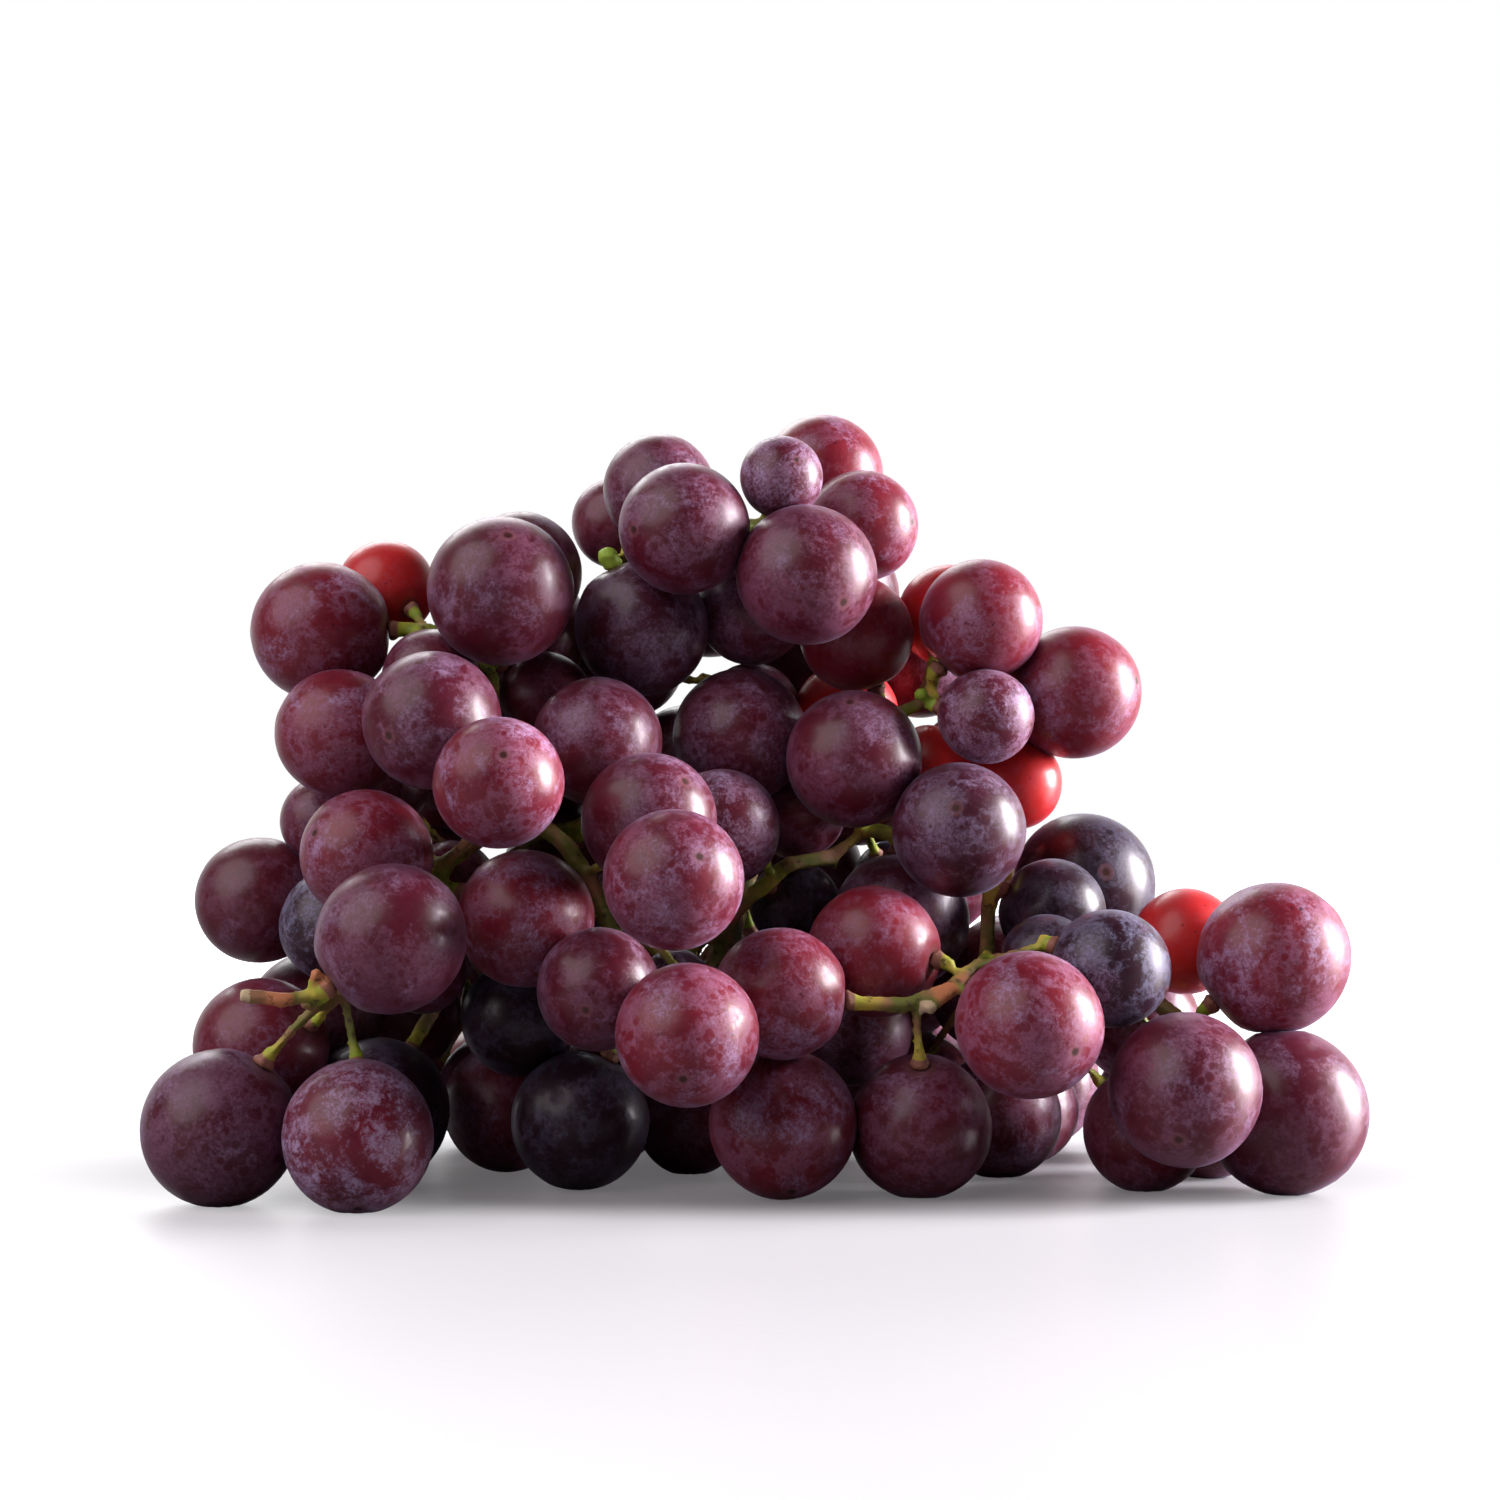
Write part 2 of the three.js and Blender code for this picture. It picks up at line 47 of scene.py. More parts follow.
# Shader sockets that add, multiply and so on by Python's own signs
class Wire:
    def __init__(self, shader, socket):
        self.shader = shader
        self.socket = socket

    def maths(self, operation, *others):
        values = dict(enumerate((self,) + others))
        return self.shader.add("ShaderNodeMath", {"operation": operation}, values).out()

    def __add__(self, other):
        return self.maths("ADD", other)

    def __radd__(self, other):
        return self.maths("ADD", other)

    def __sub__(self, other):
        return self.maths("SUBTRACT", other)

    def __rsub__(self, other):
        return self.maths("MULTIPLY_ADD", -1.0, other)

    def __mul__(self, other):
        return self.maths("MULTIPLY", other)

    def __rmul__(self, other):
        return self.maths("MULTIPLY", other)

    def least(self, other):
        return self.maths("MINIMUM", other)

    def sway(self, amount):  # a noise as a shift up or down
        return (self - 0.5) * amount

    def span(self, low, high):  # low where this is 0, high where it is 1
        return low + (high - low) * self

    def ramp(self, low, high):  # 0 below low, 1 above high, smooth between
        sockets = {"Value": self, "From Min": low, "From Max": high}
        return self.shader.add("ShaderNodeMapRange", {"interpolation_type": "SMOOTHSTEP"}, sockets).out()


class MadeNode:
    def __init__(self, shader, node):
        self.shader = shader
        self.node = node

    def out(self, name=0):
        return Wire(self.shader, self.node.outputs[name])


# One node tree of a material or of the world
class Shader:
    def __init__(self, owner):
        owner.use_nodes = True
        self.owner = owner
        self.tree = owner.node_tree
        self.tree.nodes.clear()

    def add(self, kind, settings=None, sockets=None):
        node = self.tree.nodes.new(kind)
        for name, value in (settings or {}).items():
            setattr(node, name, value)
        for name, value in (sockets or {}).items():
            if isinstance(value, Wire):
                self.tree.links.new(value.socket, node.inputs[name])
            else:
                node.inputs[name].default_value = value
        return MadeNode(self, node)

    def mix(self, share, first, second):  # a Mix node's colours are its sockets 6 and 7
        settings = {"data_type": "RGBA", "clamp_factor": True}
        return self.add("ShaderNodeMix", settings, {0: share, 6: first, 7: second}).out(2)

    def split(self, colour):
        parts = self.add("ShaderNodeSeparateColor", None, {0: colour})
        return parts.out(0), parts.out(1), parts.out(2)

    def noise(self, place, scale, detail, rough=0.5, bend=0.0):
        sockets = {"Vector": place, "Scale": scale, "Detail": detail}
        sockets.update({"Roughness": rough, "Distortion": bend})
        return self.add("ShaderNodeTexNoise", None, sockets).out("Fac")

    def noises(self, place, plans):
        return {name: self.noise(place, *plan) for name, plan in plans.items()}

    def spots(self, place, scale, size, edge):  # one round spot in each cell
        cells = self.add("ShaderNodeTexVoronoi", None, {"Vector": place, "Scale": scale})
        return 1 - (cells.out("Distance") - size).ramp(*edge)

    def vector(self, operation, *values):
        return self.add("ShaderNodeVectorMath", {"operation": operation}, dict(enumerate(values)))

    def bump(self, height, strength, distance):
        sockets = {"Strength": strength, "Distance": distance, "Height": height}
        return self.add("ShaderNodeBump", None, sockets).out()

    def attribute(self, name):
        return self.add("ShaderNodeAttribute", {"attribute_name": name})


def newMaterial(name):
    return Shader(bpy.data.materials.new(name))


# The berries, read back from the solids: every facet pair of a ball gives the ball's centre
berryFind = {
    "weldGap": 0.001 * mm,
    "cornerSwell": 1.03,  # the solids' corners stand this much past the real skin
    "sameCentre": 0.06 * mm,
    "sameBerry": 2.0 * mm,
    "leastVotes": 7,
    "flattest": 0.01,  # a facet pair flatter than this share doesn't fix a centre
    "radiusRange": (4.5 * mm, 15.0 * mm),
    "stalkGap": 0.3 * mm,
    "stalkNear": 0.03 * mm,  # the end of a stalk lies no further than its gap and this
    "stalkAim": 0.6,
    "stalkWidth": 1.6 * mm,
}


def weldedShape(node):
    shape = bmesh.new()
    shape.from_mesh(node.data)
    bmesh.ops.remove_doubles(shape, verts=shape.verts, dist=berryFind["weldGap"])
    return shape


def facetPairs(shape):
    pairs = []
    for edge in shape.edges:
        if len(edge.link_faces) == 2:
            corners = list(edge.link_faces[0].verts)
            corners += [vert for vert in edge.link_faces[1].verts if vert not in corners]
            if len(corners) == 4:
                pairs.append([vert.co[:] for vert in corners])
    return np.array(pairs)


def findBerries(node):
    shape = weldedShape(node)
    pairs = facetPairs(shape)
    shape.free()
    sides = pairs[:, 1:] - pairs[:, :1]
    volume = np.abs(np.linalg.det(sides))
    size = np.linalg.norm(sides, axis=2).prod(axis=1)
    curved = volume > berryFind["flattest"] * size
    sides = sides[curved]
    firsts = pairs[curved, 0]
    offsets = np.linalg.solve(2 * sides, (sides ** 2).sum(axis=2)[:, :, None])[:, :, 0]
    radii = np.linalg.norm(offsets, axis=1) / berryFind["cornerSwell"]
    low, high = berryFind["radiusRange"]
    fits = (radii > low) & (radii < high)
    centres = (firsts + offsets)[fits]
    radii = radii[fits]
    gaps = np.linalg.norm(centres[:, None] - centres[None], axis=2)
    agree = gaps < berryFind["sameCentre"]
    votes = agree.sum(axis=1)
    found = []
    while votes.max() >= berryFind["leastVotes"]:
        best = int(votes.argmax())
        centre = centres[agree[best]].mean(axis=0)
        found.append({"place": Vector(centre), "radius": float(radii[agree[best]].mean())})
        votes[np.linalg.norm(centres - centre, axis=1) < berryFind["sameBerry"]] = 0
    return sorted(found, key=lambda berry: berry["place"][:])


# Where each berry's stalk meets it: the faces of the stalk's end lie nearest to the berry and look at it
def aimStalks(berries, stemShape):
    middles = np.array([face.calc_center_median()[:] for face in stemShape.faces])
    normals = np.array([face.normal[:] for face in stemShape.faces])
    areas = np.array([face.calc_area() for face in stemShape.faces])
    corners = np.array([vert.co[:] for vert in stemShape.verts])
    for berry in berries:
        centre = np.array(berry["place"][:])
        toFace = middles - centre
        far = np.linalg.norm(toFace, axis=1)
        wanted = berry["radius"] * berryFind["cornerSwell"] + berryFind["stalkGap"]
        aim = -(toFace * normals).sum(axis=1) / far
        fits = (far < wanted + berryFind["stalkNear"]) & (aim > berryFind["stalkAim"])
        berry["hasStalk"] = bool(fits.any())
        if berry["hasStalk"]:
            widest = int(np.where(fits, areas, 0).argmax())
            same = fits & (np.linalg.norm(middles - middles[widest], axis=1) < berryFind["stalkWidth"])
            middle = (toFace[same] * areas[same, None]).sum(axis=0)
            berry["stalk"] = Vector(middle).normalized()
        else:
            nearest = corners[np.linalg.norm(corners - centre, axis=1).argmin()]
            berry["stalk"] = Vector(nearest - centre).normalized()
            berry["stalkOff"] = float(np.linalg.norm(nearest - centre)) - berry["radius"]


stemShape = weldedShape(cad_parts["stem"])
sprayNames = sorted(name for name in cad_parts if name.startswith("berries_"))
sprays = {name: findBerries(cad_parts[name]) for name in sprayNames}
allBerries = [berry for name in sprayNames for berry in sprays[name]]
aimStalks(allBerries, stemShape)
stalked = sum(berry["hasStalk"] for berry in allBerries)
print("stage:", len(allBerries), "berries found,", stalked, "with the end of their stalk")

# How each berry looks: most are drawn by seed, the ones that stand out are listed by place
berryLooks = {
    "seed": 31,
    "redness": (0.20, 0.60),
    "bloom": (0.35, 0.80),
    "darkness": (0.08, 0.42),
    "longer": (-0.005, 0.03),
    "reach": 9.0 * mm,  # a listed look goes to the berry this near to its place
    "places": {  # millimetres: right, back, up
        "rose": [(-39, -55, 63), (78, -30, 36), (16, -11, 104), (-65, -30, 71), (-11, -59, 26),
                 (-36, -36, 42), (39, -53, 27), (2, -43, 31), (-60, -42, 52), (3, -39, 11),
                 (-70, -19, 87)],
        "misty": [(-60, -52, 11)],
        "red": [(34, -17, 89), (49, -12, 78), (17, -32, 37), (10, 5, 113)],
        "plum": [(-25, -47, 32), (24, -35, 11), (14, -21, 67), (6, -28, 95), (-41, -31, 93),
                 (62, -47, 17)],
        # painted light: these berries get a bright red that stands in for light shining through them from
        # behind
        "paintedGlow": [(-61, -5, 95), (67, -14, 38), (30, -1, 91), (14, 9, 76), (40, -9, 63),
                    (27, -8, 65)],
        "deep": [(-20, -15, 88), (27, -9, 42), (22, -12, 41), (30, -27, 56)],
        "dark": [(-34, -18, 42), (21, 10, 48), (52, 4, 45), (46, -16, 43), (44, -28, 35),
                 (-29, -25, 11), (-38, -20, 26), (-61, -22, 12), (5, -9, 44)],
        "slate": [(-66, -29, 41), (-14, -38, 32), (52, -41, 35)],
        "frosted": [(3, -24, 111), (35, -23, 73), (-7, -26, 56)],
        "brown": [(15, -11, 87)],
    },
    "kinds": {  # redness, bloom, darkness and glow, where glow is a bright red painted in for light shining through the berry
        "rose": (0.60, 0.90, 0.06, 0.05),
        "misty": (0.45, 1.15, 0.0, 0.0),
        "red": (0.75, 0.55, 0.08, 0.05),
        "plum": (0.35, 0.60, 0.30, 0.0),
        "paintedGlow": (1.0, 0.10, 0.0, 1.0),
        "deep": (0.25, 0.60, 0.58, 0.0),
        "dark": (0.10, 0.45, 0.95, 0.0),
        "slate": (0.0, 1.0, 0.80, 0.0),
        "frosted": (0.30, 1.05, 0.25, 0.0),
        "brown": (0.55, 0.20, 0.40, 0.20),
    },
}


def drawLooks(berries):
    draw = random.Random(berryLooks["seed"])
    for number, berry in enumerate(berries):
        redness = draw.uniform(*berryLooks["redness"])
        bloom = draw.uniform(*berryLooks["bloom"])
        darkness = draw.uniform(*berryLooks["darkness"])
        berry["look"] = (redness, bloom, darkness, 0.0)
        berry["number"] = number
        berry["turn"] = draw.uniform(0, math.tau)
        berry["longer"] = draw.uniform(*berryLooks["longer"])
    for kind, places in berryLooks["places"].items():
        for place in places:
            spot = Vector(place) * mm
            nearest = min(berries, key=lambda berry: (berry["place"] - spot).length)
            miss = (nearest["place"] - spot).length
            if miss < berryLooks["reach"]:
                nearest["look"] = berryLooks["kinds"][kind]
            else:
                print("no berry within reach of", kind, place, round(miss / mm, 1))


drawLooks(allBerries)

# The skin of one berry: a fine ball, mostly a little longer than wide, with a dimple at the stalk
# and a scar at the tip. Heights and depths are for a ball of radius 1, angles and widths in radians.
berryShape = {
    "around": 48,
    "along": 32,
    "wobble": 0.012,
    "wobbleScale": 1.1,
    "wobbleStep": 3.7,  # each berry reads the noise this much further on
    "grainStep": (5.3, -2.9, 1.7),  # and so do the noises of its skin
    "dimpleDepth": 0.05,
    "dimpleWidth": 0.30,
    "shoulderHeight": 0.012,
    "shoulderAngle": 0.50,
    "shoulderWidth": 0.14,
    "scarDepth": 0.014,
    "scarWidth": 0.05,
    "scarRim": 0.006,
    "scarRimAngle": 0.10,
    "skinGap": 0.02 * mm,
    "touchReach": 1.0 * mm,
}


def bell(angle, middle, width):
    return math.exp(-((angle - middle) / width) ** 2)


def skinHeight(berry, way, angle):
    plan = berryShape
    step = Vector((berry["number"] * plan["wobbleStep"], 0, 0))
    height = 1 + plan["wobble"] * noise.noise(way * plan["wobbleScale"] + step)
    height += berry["longer"] * (math.cos(angle) ** 2 - 0.5)
    height -= plan["dimpleDepth"] * bell(angle, 0, plan["dimpleWidth"])
    height += plan["shoulderHeight"] * bell(angle, plan["shoulderAngle"], plan["shoulderWidth"])
    height -= plan["scarDepth"] * bell(angle, math.pi, plan["scarWidth"])
    height += plan["scarRim"] * bell(math.pi - angle, plan["scarRimAngle"], plan["scarWidth"])
    return height


def touchingPlanes(berry):
    planes = []
    for other in allBerries:
        between = other["place"] - berry["place"]
        apart = between.length
        if other is not berry and apart < berry["radius"] + other["radius"] + berryShape["touchReach"]:
            reach = (apart ** 2 + berry["radius"] ** 2 - other["radius"] ** 2) / (2 * apart)
            planes.append((between / apart, reach - berryShape["skinGap"]))
    return planes


def addBerry(shape, berry, placeLayer, lookLayer, poleLayer):
    stand = berry["stalk"].to_track_quat("Z", "Y").to_matrix().to_4x4()
    stand = stand @ Matrix.Rotation(berry["turn"], 4, "Z")
    made = bmesh.ops.create_uvsphere(
        shape, u_segments=berryShape["around"], v_segments=berryShape["along"], radius=1.0, matrix=stand)
    planes = touchingPlanes(berry)
    floor = berry["place"].z
    offset = Vector([berry["number"] * step for step in berryShape["grainStep"]])
    back = stand.inverted()
    for vert in made["verts"]:
        way = vert.co.normalized()
        angle = way.angle(berry["stalk"])
        skin = way * skinHeight(berry, way, angle) * berry["radius"]
        for normal, reach in planes:
            past = skin.dot(normal) - reach
            if past > 0:
                skin -= normal * past
        skin.z = max(skin.z, -floor)
        vert.co = berry["place"] + skin
        vert[placeLayer] = (back @ way) + offset
        vert[lookLayer] = berry["look"]
        vert[poleLayer] = math.cos(angle)


skinLook = {
    "night": (0.018, 0.004, 0.010, 1),
    "burgundy": (0.100, 0.007, 0.021, 1),
    "red": (0.195, 0.009, 0.020, 1),
    # painted light: a bright red that stands in for light shining through a backlit berry
    "glow": (0.66, 0.022, 0.016, 1),
    "film": (0.37, 0.180, 0.305, 1),
    "slate": (0.22, 0.21, 0.34, 1),
    "lilac": (0.46, 0.34, 0.56, 1),
    "frost": (0.46, 0.50, 0.72, 1),
    "speck": (0.030, 0.004, 0.009, 1),
    "scar": (0.050, 0.012, 0.008, 1),
    "ring": (0.24, 0.09, 0.10, 1),
    "collar": (0.16, 0.06, 0.05, 1),
    "noises": {  # scale, detail, roughness and bend, where a berry's radius is 1
        "cloud": (1.3, 3.0, 0.55, 0.4),
        "mottle": (5.0, 6.0, 0.70, 0.6),
        "fine": (17.0, 5.0, 0.80, 0.4),
        "patch": (1.6, 6.0, 0.62, 0.5),
        "dropSize": (2.4, 3.0),
        "lilac": (1.1, 4.0, 0.6, 0.8),
        "speckSize": (6.0, 2.0),
        "speckPlace": (2.0, 2.0),
    },
    "ramps": {  # where a share starts, and where it is full
        "red": (0.1, 1.0),
        "night": (0.0, 1.0),
        "grain": (0.41, 0.60),
        "patch": (0.42, 0.56),
        "dropSize": (0.40, 0.64),
        "dropEdge": (-0.03, 0.07),
        "lilac": (0.50, 0.68),
        "slate": (0.25, 0.75),
        "frost": (0.9, 1.2),
        "speckSize": (0.40, 0.80),
        "speckEdge": (-0.04, 0.06),
        "speckPlace": (0.45, 0.60),
        "ring": (0.9900, 0.9940),
        "scar": (0.9960, 0.9985),
        "collar": (0.955, 0.985),
    },
    "sways": {  # how far a noise moves a share
        "redCloud": 1.0,
        "redMottle": 0.9,
        "nightCloud": 0.6,
        "patchFine": 0.34,
        "patchMottle": 0.20,
        "dropFine": 0.3,
        "lilacFine": 0.30,
        "roughGrain": 0.06,
    },
    # how patchy the painted glow is
    "paintedGlowCloud": (0.55, 1.0),
    "grainMottle": 0.4,
    "grainFine": 0.6,
    "dropScale": 5.5,
    "dropWidth": 0.40,
    "dropInFilm": 0.85,
    "dropInLilac": 0.7,
    "filmPatch": (0.06, 1.0),
    "filmGrain": (0.26, 0.88),
    "filmMost": 0.9,
    "filmShare": 0.62,
    "lilacGrain": (0.25, 1.0),
    "lilacShare": 0.62,
    "lilacLostInDark": 0.40,
    "lilacWax": 0.6,
    "frostShare": 0.30,
    "speckScale": 10.0,
    "speckWidth": 0.34,
    "speckShare": 0.70,
    "ringShare": 0.35,
    "collarShare": 0.6,
    "rough": (0.36, 0.58),  # bare and waxed
    "bumpStrength": 0.14,
    "bumpHeight": 0.2 * mm,
    "bend": 1.40,
    "subsurface": 0.15,
    "subsurfaceScale": 4.0 * mm,
    "subsurfaceReach": (1.0, 0.12, 0.10),
    "coat": 0.16,
    "coatRough": 0.16,
    "sheen": 0.12,
    "sheenRough": 0.30,
    "sheenTint": (0.66, 0.64, 1.0, 1),
}


def fleshColourWithGlow(skin, noises, redness, darkness, glow):
    ramps = skinLook["ramps"]
    sways = skinLook["sways"]
    cloud = noises["cloud"]
    red = redness + cloud.sway(sways["redCloud"]) + noises["mottle"].sway(sways["redMottle"])
    colour = skin.mix(red.ramp(*ramps["red"]), skinLook["burgundy"], skinLook["red"])
    night = darkness + cloud.sway(sways["nightCloud"])
    colour = skin.mix(night.ramp(*ramps["night"]), colour, skinLook["night"])
    # painted light: the glow share mixes in the bright red that stands in for light shining through a
    # backlit berry
    return skin.mix(glow * cloud.span(*skinLook["paintedGlowCloud"]), colour, skinLook["glow"])


# The bloom is a film in patches and crests of lilac, both rubbed off in drops, and some frost
def bloomShares(skin, place, noises, bloom, darkness):
    ramps = skinLook["ramps"]
    sways = skinLook["sways"]
    mottle = noises["mottle"]
    fine = noises["fine"]
    grain = (mottle * skinLook["grainMottle"] + fine * skinLook["grainFine"]).ramp(*ramps["grain"])
    patch = noises["patch"] + fine.sway(sways["patchFine"]) + mottle.sway(sways["patchMottle"])
    covered = patch.ramp(*ramps["patch"])
    dropSize = (noises["dropSize"] + fine.sway(sways["dropFine"])).ramp(*ramps["dropSize"])
    dropSize = dropSize * skinLook["dropWidth"]
    bare = skin.spots(place, skinLook["dropScale"], dropSize, ramps["dropEdge"])
    film = bloom * covered.span(*skinLook["filmPatch"]) * grain.span(*skinLook["filmGrain"])
    film = (film * (1 - bare * skinLook["dropInFilm"])).least(skinLook["filmMost"])
    crest = (noises["lilac"] + fine.sway(sways["lilacFine"])).ramp(*ramps["lilac"])
    crest = crest * grain.span(*skinLook["lilacGrain"]) * bloom
    lilac = crest * (skinLook["lilacShare"] - darkness * skinLook["lilacLostInDark"])
    lilac = lilac * (1 - bare * skinLook["dropInLilac"])
    frost = bloom.ramp(*ramps["frost"]) * grain * covered * skinLook["frostShare"]
    return grain, film, crest, lilac, frost


def markedColour(skin, place, noises, pole, colour):
    ramps = skinLook["ramps"]
    speckSize = noises["speckSize"].ramp(*ramps["speckSize"]) * skinLook["speckWidth"]
    speck = skin.spots(place, skinLook["speckScale"], speckSize, ramps["speckEdge"])
    speck = speck * noises["speckPlace"].ramp(*ramps["speckPlace"])
    colour = skin.mix(speck * skinLook["speckShare"], colour, skinLook["speck"])
    tip = pole * -1
    colour = skin.mix(tip.ramp(*ramps["ring"]) * skinLook["ringShare"], colour, skinLook["ring"])
    colour = skin.mix(tip.ramp(*ramps["scar"]), colour, skinLook["scar"])
    collar = pole.ramp(*ramps["collar"]) * skinLook["collarShare"]
    return skin.mix(collar, colour, skinLook["collar"])


def makeSkin():
    skin = newMaterial("grape_skin")
    place = skin.attribute("berryPlace").out("Vector")
    look = skin.attribute("berryLook")
    redness, bloom, darkness = skin.split(look.out("Color"))
    pole = skin.attribute("berryPole").out("Fac")
    noises = skin.noises(place, skinLook["noises"])
    colour = fleshColourWithGlow(skin, noises, redness, darkness, look.out("Alpha"))
    grain, film, crest, lilac, frost = bloomShares(skin, place, noises, bloom, darkness)
    slate = darkness.ramp(*skinLook["ramps"]["slate"])
    filmColour = skin.mix(slate, skinLook["film"], skinLook["slate"])
    colour = skin.mix(film * skinLook["filmShare"], colour, filmColour)
    colour = skin.mix(lilac, colour, skinLook["lilac"])
    colour = skin.mix(frost, colour, skinLook["frost"])
    colour = markedColour(skin, place, noises, pole, colour)
    waxed = (film + crest * skinLook["lilacWax"]).least(1.0)
    shiny = skin.add("ShaderNodeBsdfPrincipled", {"subsurface_method": "RANDOM_WALK"}, {
        "Base Color": colour,
        "Roughness": waxed.span(*skinLook["rough"]) + grain.sway(skinLook["sways"]["roughGrain"]),
        "IOR": skinLook["bend"],
        "Normal": skin.bump(noises["fine"], skinLook["bumpStrength"], skinLook["bumpHeight"]),
        "Subsurface Weight": skinLook["subsurface"],
        "Subsurface Scale": skinLook["subsurfaceScale"],
        "Subsurface Radius": skinLook["subsurfaceReach"],
        "Coat Weight": skinLook["coat"] - film * skinLook["coat"],
        "Coat Roughness": skinLook["coatRough"],
        "Sheen Weight": skinLook["sheen"],
        "Sheen Roughness": skinLook["sheenRough"],
        "Sheen Tint": skinLook["sheenTint"],
    })
    skin.add("ShaderNodeOutputMaterial", None, {"Surface": shiny.out()})
    return skin.owner


def makePiece(name, shape, material):
    bmesh.ops.recalc_face_normals(shape, faces=shape.faces)
    for face in shape.faces:
        face.smooth = True
    mesh = bpy.data.meshes.new(name)
    shape.to_mesh(mesh)
    shape.free()
    mesh.materials.append(material)
    piece = bpy.data.objects.new(name, mesh)
    bpy.context.scene.collection.objects.link(piece)
    return piece


def makeSpray(name, berries, material):
    shape = bmesh.new()
    placeLayer = shape.verts.layers.float_vector.new("berryPlace")
    lookLayer = shape.verts.layers.float_color.new("berryLook")
    poleLayer = shape.verts.layers.float.new("berryPole")
    for berry in berries:
        addBerry(shape, berry, placeLayer, lookLayer, poleLayer)
    piece = makePiece("fine_" + name, shape, material)
    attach(piece, "root")
    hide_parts(name)


skinMaterial = makeSkin()
for name in sprayNames:
    makeSpray(name, sprays[name], skinMaterial)
print("stage: the berries have their skins")

# The stem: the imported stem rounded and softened, with a swollen pad for each berry that it nearly reaches
stemBuild = {
    "fatten": 0.18 * mm,
    "padSides": 20,
    "padWidth": 3.5 * mm,
    "padThick": 0.8 * mm,
    "padNeck": 1.7 * mm,
    "padHeight": 3.4 * mm,
    "padSink": 0.9,  # share of the berry's dimple
    "padUnder": 0.9,  # shares of the pad's width and of the neck's
    "padWaist": 0.45,
    "neckTop": 0.9,
    "waistAt": 0.2,  # shares of the way from the pad's rim to the top
    "neckFrom": 0.15,
    "smallBerry": 9.0 * mm,
    "furthestPad": 3.0 * mm,
    "voxel": 0.48 * mm,
    "soften": 3,
    "softenBy": 0.5,
    "wart": 0.10 * mm,
    "wartScale": 900.0,
    "swell": 0.16 * mm,
    "swellScale": 260.0,
    "greenReach": 8.0 * mm,
    "rimHeight": (0.9 * mm, 1.5 * mm),
    "rimReach": 3.2 * mm,
    "rimWart": 0.30 * mm,
    "cutReach": 1.5 * mm,
    "driedReach": 3.5 * mm,
    "unripeReach": 2.6 * mm,
    "cuts": [(-75.8, -60.2, 32.0), (24.2, -43.7, 28.8), (7.7, 68.8, 72.0)],  # these three in millimetres
    "dried": [(-64.6, -60.2, 35.5), (-70.5, -60.0, 31.5), (27.0, -42.0, 31.4), (30.5, -39.0, 32.0)],
    "unripe": [(-24.8, -16.2, 99.0), (24.7, -20.2, 77.0)],
}


def addCone(shape, start, end, startRadius, endRadius, sides):
    along = end - start
    matrix = Matrix.Translation((start + end) / 2) @ along.to_track_quat("Z", "Y").to_matrix().to_4x4()
    bmesh.ops.create_cone(shape, cap_ends=True, segments=sides, radius1=startRadius, radius2=endRadius,
                          depth=along.length, matrix=matrix)


def addPad(shape, berry):
    plan = stemBuild
    way = berry["stalk"]
    foot = berry["place"] + way * berry["radius"] * (1 - berryShape["dimpleDepth"] * plan["padSink"])
    rim = foot + way * plan["padThick"]
    top = foot + way * plan["padHeight"]
    scale = min(1.0, berry["radius"] / plan["smallBerry"]) / 2  # half, because a cone takes radii
    width = plan["padWidth"] * scale
    neck = plan["padNeck"] * scale
    waist = neck + (width - neck) * plan["padWaist"]
    addCone(shape, foot, rim, width * plan["padUnder"], width, plan["padSides"])
    addCone(shape, rim, rim.lerp(top, plan["waistAt"]), width, waist, plan["padSides"])
    addCone(shape, rim.lerp(top, plan["neckFrom"]), top, waist, neck * plan["neckTop"], plan["padSides"])


def remeshed(shape, name, voxel):
    mesh = bpy.data.meshes.new(name)
    shape.to_mesh(mesh)
    shape.free()
    holder = bpy.data.objects.new(name, mesh)
    bpy.context.scene.collection.objects.link(holder)
    modifier = holder.modifiers.new("melt", "REMESH")
    modifier.mode = "VOXEL"
    modifier.voxel_size = voxel
    evaluated = holder.evaluated_get(bpy.context.evaluated_depsgraph_get())
    melted = bmesh.new()
    melted.from_mesh(evaluated.to_mesh())
    evaluated.to_mesh_clear()
    bpy.data.objects.remove(holder)
    bpy.data.meshes.remove(mesh)
    return melted


stemLook = {
    "lime": (0.30, 0.42, 0.020, 1),
    "yellow": (0.58, 0.48, 0.07, 1),
    "olive": (0.15, 0.17, 0.025, 1),
    "brown": (0.34, 0.17, 0.085, 1),
    "rim": (0.30, 0.13, 0.085, 1),
    "dried": (0.56, 0.22, 0.09, 1),
    "cut": (0.62, 0.50, 0.30, 1),
    "unripe": (0.33, 0.50, 0.05, 1),
    "spot": (0.05, 0.022, 0.012, 1),
    "noises": {  # scale, detail and roughness, where a metre is 1
        "cloud": (160.0, 4.0, 0.6),
        "fine": (900.0, 4.0, 0.65),
        "spot": (600.0, 3.0, 0.6),
    },
    "ramps": {  # where a share starts, and where it is full
        "brown": (0.38, 0.62),
        "yellow": (0.40, 0.66),
        "fresh": (0.20, 0.75),
        "rim": (0.2, 0.8),
        "dried": (0.2, 0.6),
        "spot": (0.58, 0.68),
        "special": (0.3, 0.7),
    },
    "sways": {  # how far a noise moves a share
        "yellowFine": 0.3,
        "freshCloud": 0.8,
        "rimFine": 0.6,
        "driedFine": 0.6,
    },
    "spotShare": 0.75,
    "rough": (0.45, 0.70),
    "bumpCloud": 0.5,
    "bumpStrength": 0.35,
    "bumpHeight": 0.3 * mm,
    "bend": 1.45,
    "subsurface": 0.2,
    "subsurfaceScale": 1.0 * mm,
    "subsurfaceReach": (1.0, 0.8, 0.3),
}


